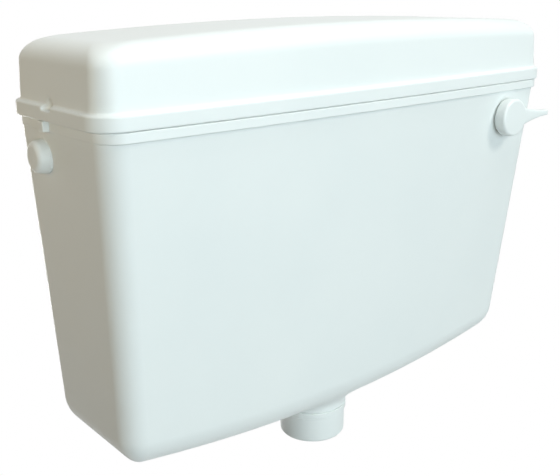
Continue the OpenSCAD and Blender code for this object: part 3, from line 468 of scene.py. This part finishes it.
print("a plain ring has a profile of", len(ring(5, 8, 0, 2)), "points")

# %% [markdown]
# ## The tank
# The real tank is one moulding. Its walls lean in towards the foot so that it leaves the
# mould, the foot hangs lower in the middle, and a band round the rim stiffens it. A ring of
# the outline is placed at each share t from rim (0) to foot (1), and rows of rings run up the
# outside, over the rim and down the inside. A subdivision cage would need guessing at the
# corners, while these rows follow the formulas of the CAD model.

# %% tank walls
TANK_W, TANK_D, TANK_H, SAG = 450, 134, 245, 16.4
END_DRAFT, FRONT_DRAFT, BACK, RIM_Z = 13.7, 24.2, -2, 24
RIM_CORNER, FOOT_CORNER, FOOT_FLAT, FOOT_R, WALL = 17.4, 16, 5, 26, 3
RIM_H, RIM_OUT, RIM_END = 7.2, 2.6, 0.9


def tank_rings(t, end_grow, grow, lift):
    """Rings of the tank: half width and front lean in with t, grow pushes them out, and
    z = rim - t (height + sag (1 - (2 x / width) ** 2)) + lift."""
    t, end_grow, grow, lift = (np.asarray(v, float) for v in (t, end_grow, grow, lift))
    corner = np.maximum(mix(RIM_CORNER, FOOT_CORNER, t) + end_grow, FOOT_FLAT)
    x, y = outline(TANK_W / 2 - END_DRAFT * t + end_grow, BACK - TANK_D + FRONT_DRAFT * t - grow,
                   BACK + np.minimum(grow, 0), corner)
    z = RIM_Z - t[:, None] * (TANK_H + SAG * (1 - (2 * x / TANK_W) ** 2)) + lift[:, None]
    return np.stack([x, y, z], axis=-1)


def foot_rings(angles, r, grow, lift):
    """Rings round the foot's edge: set in by r (1 - cos a) and up by r (1 - sin a)."""
    edge = grow - r * (1 - np.cos(angles))
    return tank_rings(1 - r * (1 - np.sin(angles)) / TANK_H, edge, edge, np.full(len(angles), lift))


foot_turn = np.radians(np.linspace(90, 0, 19))
up_wall = np.linspace(1 - FOOT_R / TANK_H, 0, 14)[1:-1]
none = np.zeros(len(up_wall))
band = rounded([(0, -3), (0, 0), (RIM_OUT, 0), (RIM_OUT, RIM_H), (-WALL, RIM_H), (-WALL, -3)],
               [0, 0.6, 0.9, 1.1, 0.9, 0], steps=5)
band_out, band_lift = band.T
band_end = np.where(band_out > 0, band_out * RIM_END / RIM_OUT, band_out)
deep = np.minimum(band_lift, 0) / -TANK_H
tank_skin = np.concatenate([
    foot_rings(foot_turn, FOOT_R, 0, 0),
    tank_rings(up_wall, none, none, none),
    tank_rings(deep, band_end, band_out, np.maximum(band_lift, 0)),
    tank_rings(up_wall[::-1], none - WALL, none - WALL, none),
    foot_rings(foot_turn[::-1], FOOT_R - WALL, -WALL, WALL)])
print("tank from", tank_skin.reshape(-1, 3).min(0).round(1), "to", tank_skin.reshape(-1, 3).max(0).round(1))

# %% [markdown]
# The neck under the tank blends into the foot with a hollow flare. The foot is not flat there:
# its front edge rises. So the flare's height is measured from the foot's own surface under
# each point, which comes from the same formula, read backwards by interpolation. Drills cut
# the holes a little too wide, and rings with the right bore and soft edges then line them.

# %% neck, pads and catch blocks
OUTLET_Y, NECK_R, NECK_Z, FLOOR_SEAT, TAIL_HOLE = -71, 30, -247.4, -230.289, 24.4
FLARE_OUT, FLARE_H, NECK_ROUND, DRILL = 12, 9, 0.8, 0.4
SIDE_Y, SIDE_Z, SIDE_WALL, SIDE_SEAT, SIDE_INNER = -45, 5.2, 223.949, 225.149, 219.749
LEVER_X, LEVER_Z, LEVER_SEAT, LEVER_INNER = 173.5, 0.8, -138.562, -130.362
END_HOLE, END_PAD, END_SEAT_R, LEVER_HOLE, LEVER_PAD = 11, 17, 12.5, 8.5, 13.5
FIX_X, FIX_HOLE, FIX_PAD, FIX_T, FIX_DRILL = 165, 4.25, 14, 7, 4.6
CATCH_Y, CATCH_W, CATCH_OUT = -57, 7, 4.5


def under_foot(x, y):
    """Height of the foot's underside: flat inside, and rising round its front edge."""
    a = np.radians(np.linspace(0, 90, 91))
    t = 1 - FOOT_R * (1 - np.sin(a)) / TANK_H
    edge = BACK - TANK_D + FRONT_DRAFT * t + FOOT_R * (1 - np.cos(a))
    reach = y + BOW * (1 - (x / (TANK_W / 2 - END_DRAFT)) ** 2)
    return RIM_Z - np.interp(reach, edge, t) * (TANK_H + SAG * (1 - (2 * x / TANK_W) ** 2))


bend = np.radians(np.linspace(180, 90, 17))
flare_r, flare_h = NECK_R + FLARE_OUT * (1 + np.cos(bend)), -FLARE_H * (1 - np.sin(bend))
neck_r = np.concatenate([[TAIL_HOLE, NECK_R - NECK_ROUND, NECK_R - 0.25, NECK_R], flare_r,
                         [NECK_R + FLARE_OUT, NECK_R + FLARE_OUT / 2, NECK_R, TAIL_HOLE]])
on_foot = np.concatenate([np.zeros(4), np.ones(len(bend) + 2), [0, 0]])[:, None]
neck_h = np.concatenate([[NECK_Z, NECK_Z, NECK_Z + 0.25, NECK_Z + NECK_ROUND], flare_h,
                         [1.2, 1.2, FLOOR_SEAT, FLOOR_SEAT]])[:, None]
around = full_turn(96)
neck_x, neck_y = np.outer(neck_r, np.cos(around)), OUTLET_Y + np.outer(neck_r, np.sin(around))
neck = grid(np.stack([neck_x, neck_y, neck_h + on_foot * under_foot(neck_x, neck_y)], axis=-1), loop=True)
end_pad = rounded([(END_HOLE, SIDE_INNER), (END_PAD, SIDE_INNER), (END_PAD, SIDE_WALL - 1.5),
                   (END_SEAT_R, SIDE_WALL - 1.5), (END_SEAT_R, SIDE_SEAT), (END_HOLE, SIDE_SEAT)],
                  [0.3, 0.8, 0, 0, 0.5, 0.3])
END_AXIS, LEVER_AXIS = (0, SIDE_Y, SIDE_Z), (LEVER_X, 0, LEVER_Z)
pads = [neck, turned(end_pad, END_AXIS, "x"), turned(end_pad * (1, -1), END_AXIS, "x"),
        turned(ring(LEVER_HOLE, LEVER_PAD, LEVER_SEAT, LEVER_INNER, 0.5), LEVER_AXIS, "y")]
holes = [turned(rod(TAIL_HOLE + DRILL, -248, -225), (0, OUTLET_Y, 0)),
         turned(rod(LEVER_HOLE + DRILL, -145, -125), LEVER_AXIS, "y")]
for side in (-1, 1):
    catch = side * (TANK_W / 2 + np.array([-WALL / 2, RIM_END + CATCH_OUT]))
    pads += [block((catch.min(), CATCH_Y - CATCH_W / 2, RIM_Z),
                   (catch.max(), CATCH_Y + CATCH_W / 2, RIM_Z + RIM_H), 0.9),
             turned(ring(FIX_HOLE, FIX_PAD, -FIX_T, 0, 0.6), (side * FIX_X, 0, 0), "y")]
    holes += [turned(rod(FIX_DRILL, -FIX_T - 2, 1), (side * FIX_X, 0, 0), "y"),
              turned(rod(END_HOLE + DRILL, side * 222 - 8, side * 222 + 8), END_AXIS, "x")]
piece("tank_moulding", "cistern", "white_gloss", ["tank"], skin(tank_skin), holes, pads)

# %% [markdown]
# ## The lid
# The lid is a second moulding: a lip that overhangs the rim, a wall set in from it with a
# small hollow flare between the two, a crowned top and a skirt that drops inside the tank.
# One profile of inset, height and corner radius runs from the middle of the inside, down
# round the skirt and lip, and up the outside to the top. The rows are close together from
# the lip to the lower wall, because the finger scoops are pressed in there.

# %% lid
LID_HALF, LID_FRONT, LID_Z, LID_H, CROWN = 229.9, -139, 31.4, 58.6, 7.1
TOP_R, TOP_CORNER, LID_T, LIP_H, INSET, LEAN, LIP_CORNER = 17.6, 17.8, 3, 10.6, 3.5, 1.4, 20.4
LIP_ROUND = LIP_H / 6
FLARE = INSET - LIP_ROUND
WALL_H = LIP_H + FLARE
SKIRT_IN, SKIRT_T, SKIRT_H = 8.7, 2, 4


def lid_rings(inset, h, corner):
    """Rings of the lid, set in from its lip; the crown drops z by crown share times (x / half) ** 2."""
    inset, h, corner = (np.asarray(v, float) for v in (inset, h, corner))
    x, y = outline(LID_HALF - inset, LID_FRONT + inset, BACK - inset, corner)
    crown = CROWN * np.maximum(0, (h - WALL_H) / (LID_H - WALL_H))
    z = LID_Z + h[:, None] - crown[:, None] * (x / LID_HALF) ** 2
    return np.stack([x, y, z], axis=-1)


def top_rings(angles, t):
    """Rings of the rounded top edge, for the outer face (t = 0) or t further in."""
    r, wall = TOP_R - t, INSET + LEAN + t
    return lid_rings(wall + r * (1 - np.cos(angles)), LID_H - TOP_R + r * np.sin(angles),
                     mix(LIP_CORNER - wall, TOP_CORNER, 1 - np.cos(angles)))


def lip_rings(path):
    """Rings of a path of (inset, height) with the lip's own corners."""
    return lid_rings(path[:, 0], path[:, 1], LIP_CORNER - path[:, 0])


over = np.radians(np.linspace(90, 0, 15))
deep_in = SKIRT_IN + SKIRT_T
inside = rounded([(INSET + LID_T + 1, WALL_H + 8), (INSET + LID_T, WALL_H), (deep_in, LIP_H - LID_T),
                  (deep_in, -SKIRT_H), (SKIRT_IN, -SKIRT_H), (SKIRT_IN, 0), (0, 0), (0, LIP_H / 3)],
                 [0, 0.8, 0.8, 0.5, 0.7, 0.4, 1.2, 0])[6:]
lip_face = np.column_stack([np.zeros(12), np.linspace(LIP_H / 3, LIP_H - LIP_ROUND, 12)])[1:-1]
lip_turn = np.radians(np.linspace(0, 90, 13))
lip_top = np.column_stack([LIP_ROUND * (1 - np.cos(lip_turn)), LIP_H - LIP_ROUND * (1 - np.sin(lip_turn))])
flare = np.column_stack([LIP_ROUND + FLARE * np.sin(lip_turn), LIP_H + FLARE * (1 - np.cos(lip_turn))])
rise = np.concatenate([np.linspace(0, 0.3, 20), np.linspace(0.3, 1, 7)[1:-1]])[1:]
wall_up = np.column_stack([INSET + LEAN * rise, mix(WALL_H, LID_H - TOP_R, rise)])
outer = np.vstack([inside, lip_face, lip_top, flare[1:], wall_up])
lid_skin = np.concatenate([top_rings(over, LID_T), lip_rings(outer), top_rings(over[::-1], 0)])
print("lid from", lid_skin.reshape(-1, 3).min(0).round(1), "to", lid_skin.reshape(-1, 3).max(0).round(1))

# %% [markdown]
# A finger scoop at each end is a round hollow with a flat floor. A boolean would leave hard
# edges, so the points are pushed instead: each one goes straight away from the hollow's
# centre until it is outside the ball or under the floor. A smooth maximum does this, and it
# rounds the edge on the way, as a mould maker's polishing does.

# %% finger scoops
SCOOP_R, SCOOP_OUT, SCOOP_RISE, SCOOP_FLOOR = 7.5, 1.6, 9.9, 7.2


def smooth_max(a, b, k):
    """The larger of a and b, with a round of width k where they cross: + max(k - |a - b|, 0) ** 2 / 4 k."""
    return np.maximum(a, b) + np.maximum(k - np.abs(a - b), 0) ** 2 / (4 * k)


def scooped(points, side):
    """Points pushed out of the hollow: distance d from its centre becomes smooth_max(d, reach), where
    reach is the smaller of the ball's radius and the way down to the floor in that direction."""
    centre = np.array([side * (LID_HALF + SCOOP_OUT), SCOOP_Y, LID_Z + SCOOP_RISE])
    way = points - centre
    d = np.linalg.norm(way, axis=-1, keepdims=True)
    down = np.maximum(-way[..., 2:] / d, 1e-3)
    reach = -smooth_max(np.full_like(d, -SCOOP_R), -(SCOOP_RISE - SCOOP_FLOOR) / down, 1.5)
    return centre + way / d * smooth_max(d, reach, 2.4)


piece("lid_moulding", "lid", "white_gloss", ["lid"], skin(scooped(scooped(lid_skin, -1), 1)))

# %% [markdown]
# ## The flush lever
# The lever is a turned hub with a soft front edge and a blade that sweeps down from the hub's
# full height to a slim tip. Each section of the blade is a flat oval, a superellipse, so its
# edges are soft like a moulding's.

# %% flush lever
HUB_R, HUB_BACK, HUB_FACE, SOCKET_R, RECESS_R = 16.5, -139.062, -149.062, 5.05, 13
REACH, BLADE_T, ROOT, TIP = 52.5, 7, 13, 2.6
hub = rounded([(SOCKET_R, HUB_FACE + 2), (0, HUB_FACE + 2), (0, HUB_FACE), (HUB_R, HUB_FACE), (HUB_R, HUB_BACK),
               (RECESS_R, HUB_BACK), (RECESS_R, HUB_BACK - 2.1), (SOCKET_R, HUB_BACK - 2.1)],
              [0, 0, 0, 2.2, 0.6, 0.2, 0, 0.2])
s = np.linspace(0, 1, 40)[:, None]
tall = mix(TIP, ROOT, (1 - s) ** 2) * np.sqrt(np.clip((1 - s) / 0.05, 0.0, 1))
thick = BLADE_T / 2 * np.sqrt(np.clip((1 - s) / 0.04, 0.0, 1))
a = full_turn(48)
circle = np.stack([np.cos(a), np.sin(a)])
oval = np.sign(circle) * np.abs(circle) ** 0.5
blade = np.stack(np.broadcast_arrays(LEVER_X + REACH * s, HUB_FACE + BLADE_T / 2 + thick * oval[1],
                                     LEVER_Z + tall * oval[0]), axis=-1)
root_cap = np.repeat(blade[:1].mean(1, keepdims=True), blade.shape[1], axis=1)
piece("flush_lever_handle", "lever", "white_gloss", ["flush_handle"],
      [turned(hub, LEVER_AXIS, "y"), grid(np.concatenate([root_cap, blade]))])

# %% [markdown]
# ## Outlet nuts and blanking plug
# The coupling nut under the tank and its thin back nut are turned shapes with soft moulded
# edges. The blanking plug at the left end is a domed button.

# %% outlet nuts and blanking plug
COUPLING_Z = -276.6
back_nut = ring(23.95, 30.8, NECK_Z - 5, NECK_Z, 0.5)
coupling = rounded([(21, COUPLING_Z), (29.2, COUPLING_Z), (29.7, COUPLING_Z + 24), (23.95, COUPLING_Z + 24),
                    (23.95, COUPLING_Z + 4), (21, COUPLING_Z + 4)], [0.8, 3, 1, 0.4, 0.3, 0.3], steps=8)
piece("outlet_back_nut_moulded", "cistern", "white_gloss", ["outlet_back_nut"],
      [turned(back_nut, (0, OUTLET_Y, 0))])
piece("outlet_coupling_moulded", "cistern", "white_gloss", ["outlet_coupling_nut"],
      [turned(coupling, (0, OUTLET_Y, 0), steps=128)])
PLUG_END = -208.249
plug = rounded([(0, -SIDE_SEAT - 8), (10.6, -SIDE_SEAT - 8), (END_SEAT_R, -SIDE_SEAT), (9.7, -SIDE_SEAT),
                (9.7, PLUG_END), (0, PLUG_END)], [0, 4.5, 0.5, 0, 0.8, 0], steps=8)
piece("blanking_plug_domed", "cistern", "white_gloss", ["blanking_plug"],
      [turned(plug, END_AXIS, "x")])

# %% [markdown]
# ## Hexagon nuts
# The inlet, the plug, the lever's bush and the float are locked with hexagon nuts. A cutter
# takes the corners off both faces of such a nut in a cone, which leaves the curved edges that
# make a nut look like one. One radius of angle and height gives this: the hexagon's own
# radius, af / (2 cos m) with m the angle to the nearest flat, but never more than the cone.

# %% hexagon nuts
NUT_STEPS, NUT_ROWS = 144, 13
FLOAT_SLOPE, NECK_S, FLOAT_S = np.radians(30.483), 295.566, 345.566
PIVOT = (188.828, OUTLET_Y, -11.8)
slope_cos, slope_sin = np.cos(FLOAT_SLOPE), np.sin(FLOAT_SLOPE)
AXES["float"] = [[0, 1, 0], [-slope_sin, 0, slope_cos], [slope_cos, 0, slope_sin]]


def nut(af, bore, low, high, centre, axis):
    """Shell of a nut: radius min(af / (2 cos m), af / 2 + 1.7 times the height to the nearer face)."""
    a = full_turn(NUT_STEPS)
    m = np.mod(a - np.pi / 6, np.pi / 3) - np.pi / 6
    h = mix(low, high, (1 - np.cos(np.linspace(0, np.pi, NUT_ROWS))) / 2)
    side = np.minimum(af / 2 / np.cos(m), af / 2 + 1.7 * np.minimum(h - low, high - h)[:, None])
    lead = bore + 0.6
    inner = np.array([[bore, low + 0.6], [lead, low]]), np.array([[lead, high], [bore, high - 0.6]])
    r = np.vstack([inner[0][:, :1] + 0 * a, side, inner[1][:, :1] + 0 * a])
    height = np.concatenate([inner[0][:, 1], h, inner[1][:, 1]])[:, None] + 0 * a
    local = np.stack([r * np.cos(a), r * np.sin(a), height], axis=-1)
    return grid(on_axis(local, centre, axis), loop=True)


piece("inlet_back_nut_hexagon", "cistern", "natural_plastic", ["inlet_back_nut"],
      [nut(30, 10.13, SIDE_SEAT, SIDE_SEAT + 7, END_AXIS, "x")])
PLUG_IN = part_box("plug_nut")
piece("plug_nut_hexagon", "cistern", "natural_plastic", ["plug_nut"],
      [nut(29, 9.75, PLUG_IN[0][0] / MM, PLUG_IN[1][0] / MM, END_AXIS, "x")])
piece("bush_lock_nut_hexagon", "cistern", "natural_plastic", ["bush_lock_nut"],
      [nut(24, 8.05, LEVER_INNER, LEVER_INNER + 6, LEVER_AXIS, "y")])
piece("float_lock_nut_hexagon", "float", "brass", ["float_lock_nut"],
      [nut(12, 3.05, -NECK_S, -NECK_S + 5, PIVOT, "float")])

# %% [markdown]
# ## Inlet thread
# The supply is screwed onto the inlet's tail, a half inch pipe thread of 14 turns to the inch.
# A thread is a radius that rises and falls along the axis and moves on by one pitch each turn:
# r = root + depth |2 f - 1|, with f the fraction of height / pitch - angle / turn. It lies
# round the plain CAD tail, and it runs out towards both ends.

# %% inlet thread
PITCH, THREAD_D, TAIL_R, NUT_X, INLET_END = 25.4 / 14, 0.55, 10.48, 232.149, 250.149
THREAD_STEPS = 72
h = np.linspace(NUT_X + 0.5, INLET_END - 0.8, 150)[:, None]
a = full_turn(THREAD_STEPS)[None]
fade = np.clip(np.minimum(h - h[0], h[-1] - h) / PITCH, 0, 1)
r = TAIL_R + 0.02 + THREAD_D * fade * np.abs(2 * np.mod(h / PITCH - a / (2 * np.pi), 1) - 1)
buried = np.full((1, THREAD_STEPS), TAIL_R - 0.3)
r = np.vstack([buried, r, buried])
h = np.vstack([h[:1], h, h[-1:]]) + 0 * a
thread = np.stack([h, SIDE_Y + r * np.cos(a), SIDE_Z + r * np.sin(a)], axis=-1)
piece("inlet_tail_thread", "cistern", "natural_plastic", [], [grid(thread, loop=True)], sharp=70)

# %% [markdown]
# ## The float
# A ball float is moulded as two cups that are welded at the middle, where the weld leaves a
# bead. One cup has a neck for the arm's thread. Each cup is turned about the arm's axis from a
# profile of its own wall, with two shallow steps that stiffen the cup, and a little fillet
# where the neck grows out of the ball.

# %% float
FLOAT_R, FLOAT_T, FLOAT_NECK_R, FLOAT_NECK_L, BEAD, STEP = 38, 2, 6.5, 12, 1.2, 0.25


def cup_wall(r, first, last, step):
    """Arc of a ball of radius r between two angles from its middle: (r cos a, r sin a), where r drops by
    step at a third and again at two thirds of the way to the pole."""
    a = np.radians(np.linspace(first, last, 90))
    drop = 1 + (np.tanh((a - np.radians(32)) * 60) + np.tanh((a - np.radians(58)) * 60)) / 2
    return (r - step * drop)[:, None] * np.column_stack([np.cos(a), np.sin(a)])


neck_turn = np.degrees(np.arccos((FLOAT_NECK_R + 2.5) / FLOAT_R))
NECK_END, ARM_R = FLOAT_R + FLOAT_NECK_L, 3.05
collar = rounded([(FLOAT_NECK_R + 2.5, FLOAT_R * np.sin(np.radians(neck_turn)) - 0.4),
                  (FLOAT_NECK_R, FLOAT_R + 0.6), (FLOAT_NECK_R, NECK_END), (ARM_R, NECK_END), (ARM_R, FLOAT_R),
                  (0, FLOAT_R), (0, FLOAT_R - 4), (FLOAT_NECK_R, FLOAT_R - 4)], [0, 1.5, 0.8, 0.3, 0, 0, 0, 0])
inner_turn = np.degrees(np.arcsin((FLOAT_R - 4) / (FLOAT_R - FLOAT_T)))
neck_cup = np.vstack([cup_wall(FLOAT_R, 0, neck_turn, STEP), collar,
                      cup_wall(FLOAT_R - FLOAT_T, inner_turn, 0, 0)])
end_cup = np.vstack([cup_wall(FLOAT_R, 3.7, 90, STEP), cup_wall(FLOAT_R - FLOAT_T, 90, 0, 0)]) * (1, -1)
bead = rounded([(FLOAT_R - 1, 0), (FLOAT_R + BEAD, 0), (FLOAT_R + BEAD, -2 * BEAD), (FLOAT_R - 1, -2 * BEAD)],
               [0, 0.9, 0.9, 0])
away = np.array([0, -FLOAT_S])
piece("float_neck_cup", "float", "float_orange", ["float_neck_half"], [turned(neck_cup + away, PIVOT, "float")])
piece("float_end_cup", "float", "float_orange", ["float_end_half"],
      [turned(end_cup + away, PIVOT, "float"), turned(bead + away, PIVOT, "float")])

# %% [markdown]
# ## Floor and light
# The cistern hangs about a metre up a wall, so the pale floor lies far below it and keeps a
# soft shadow. Away from the middle the floor turns into the white of the background, for the
# camera and for reflections only. A large soft lamp stands in front, and a smaller one high at
# the right throws the handle's shadow. One hangs above, and weak ones at the left, at its front
# corner and behind lift those sides. The one behind stands low, because the lid's top would
# mirror it. The room itself gives a little warm light from below, as a tiled floor does.

# %% floor
def seen_directly(tree):
    """Socket that is 1 for rays from the camera, a reflection or glass, and 0 for light on the object."""
    ray = put(tree, "ShaderNodeLightPath").outputs
    seen = put(tree, "ShaderNodeMath", {0: ray["Is Camera Ray"], 1: ray["Is Glossy Ray"]}, operation="MAXIMUM")
    seen = put(tree, "ShaderNodeMath", {0: seen.outputs[0], 1: ray["Is Transmission Ray"]}, operation="MAXIMUM")
    return seen.outputs[0]


floor_mat = bpy.data.materials.new("floor_pale_matt")
floor_mat.use_nodes = True
tree = floor_mat.node_tree
place = put(tree, "ShaderNodeTexCoord").outputs["Object"]
away = put(tree, "ShaderNodeVectorMath", {0: place}, operation="LENGTH")
fade = put(tree, "ShaderNodeMapRange", {"Value": away.outputs["Value"], 1: 0.45, 2: 0.8})
white_share = put(tree, "ShaderNodeMath", {0: seen_directly(tree), 1: fade.outputs["Result"]}, operation="MULTIPLY")
matt = tree.nodes["Principled BSDF"]
matt.inputs["Base Color"].default_value = linear("#E9E7E2")
matt.inputs["Roughness"].default_value = 0.9
glow = put(tree, "ShaderNodeEmission", {"Color": (1, 1, 1, 1), "Strength": 1})
joined = put(tree, "ShaderNodeMixShader", {0: white_share.outputs[0], 1: matt.outputs[0], 2: glow.outputs[0]})
tree.links.new(joined.outputs[0], tree.nodes["Material Output"].inputs["Surface"])
FLOOR_Z, FLOOR_R = -1000, 1000
a, r = full_turn(96), np.array([0, FLOOR_R])[:, None]
disc = np.stack(np.broadcast_arrays(r * np.cos(a), r * np.sin(a), FLOOR_Z), axis=-1)
floor = bpy.data.objects.new("floor", to_mesh("floor", [grid(disc)]))
bpy.context.collection.objects.link(floor)
floor.data.materials.append(floor_mat)
print("floor", -FLOOR_Z, "mm under the wall fixings")

# %% light
ROOM_LOW, ROOM_HIGH = (0.03, 0.02, 0.01, 1), (0.02, 0.02, 0.02, 1)
world = bpy.data.worlds.new("studio")
bpy.context.scene.world = world
world.use_nodes = True
tree = world.node_tree
heading = put(tree, "ShaderNodeSeparateXYZ", {0: put(tree, "ShaderNodeTexCoord").outputs["Generated"]})
height = put(tree, "ShaderNodeMapRange", {"Value": heading.outputs["Z"], 1: -0.5, 2: 0.5})
tone = put(tree, "ShaderNodeMix", {"Factor": height.outputs["Result"], 6: ROOM_LOW, 7: ROOM_HIGH},
           data_type="RGBA")
room = tree.nodes["Background"]
tree.links.new(tone.outputs[2], room.inputs["Color"])
blank = put(tree, "ShaderNodeBackground", {"Color": (1, 1, 1, 1), "Strength": 1})
joined = put(tree, "ShaderNodeMixShader", {0: seen_directly(tree), 1: room.outputs[0], 2: blank.outputs[0]})
tree.links.new(joined.outputs[0], tree.nodes["World Output"].inputs["Surface"])


def lamp(name, place, aim, size, power, colour):
    """Soft square lamp of that side in metres at place, turned so that it faces aim."""
    light = bpy.data.lights.new(name, "AREA")
    light.size, light.energy, light.color = size, power, colour
    made = bpy.data.objects.new(name, light)
    bpy.context.collection.objects.link(made)
    made.matrix_world = Matrix.LocRotScale(place, (Vector(place) - Vector(aim)).to_track_quat("Z", "Y"), None)


lamp("key", (0.8, -1.8, 1.5), (0.05, -0.1, -0.05), 0.5, 18, (1, 0.97, 0.9))
lamp("fill", (0, -2.4, 0.2), (0, -0.1, -0.05), 1.4, 29, (0.76, 0.92, 1))
lamp("top", (0, -0.25, 1.2), (-0.05, -0.07, 0.09), 0.8, 8.5, (0.98, 1, 1))
lamp("left", (-0.75, 0.05, 0.15), (-0.22, -0.07, 0), 0.3, 0.8, (1, 0.8, 0.5))
lamp("corner", (-0.95, -1.75, 0.35), (-0.22, -0.12, 0), 0.6, 10.5, (0.95, 1, 0.98))
lamp("back", (0.3, 1.9, -0.5), (0.05, -0.05, -0.05), 0.8, 28, (1, 1, 1))
bpy.context.scene.view_settings.view_transform = "Standard"
print("six lamps and a room")
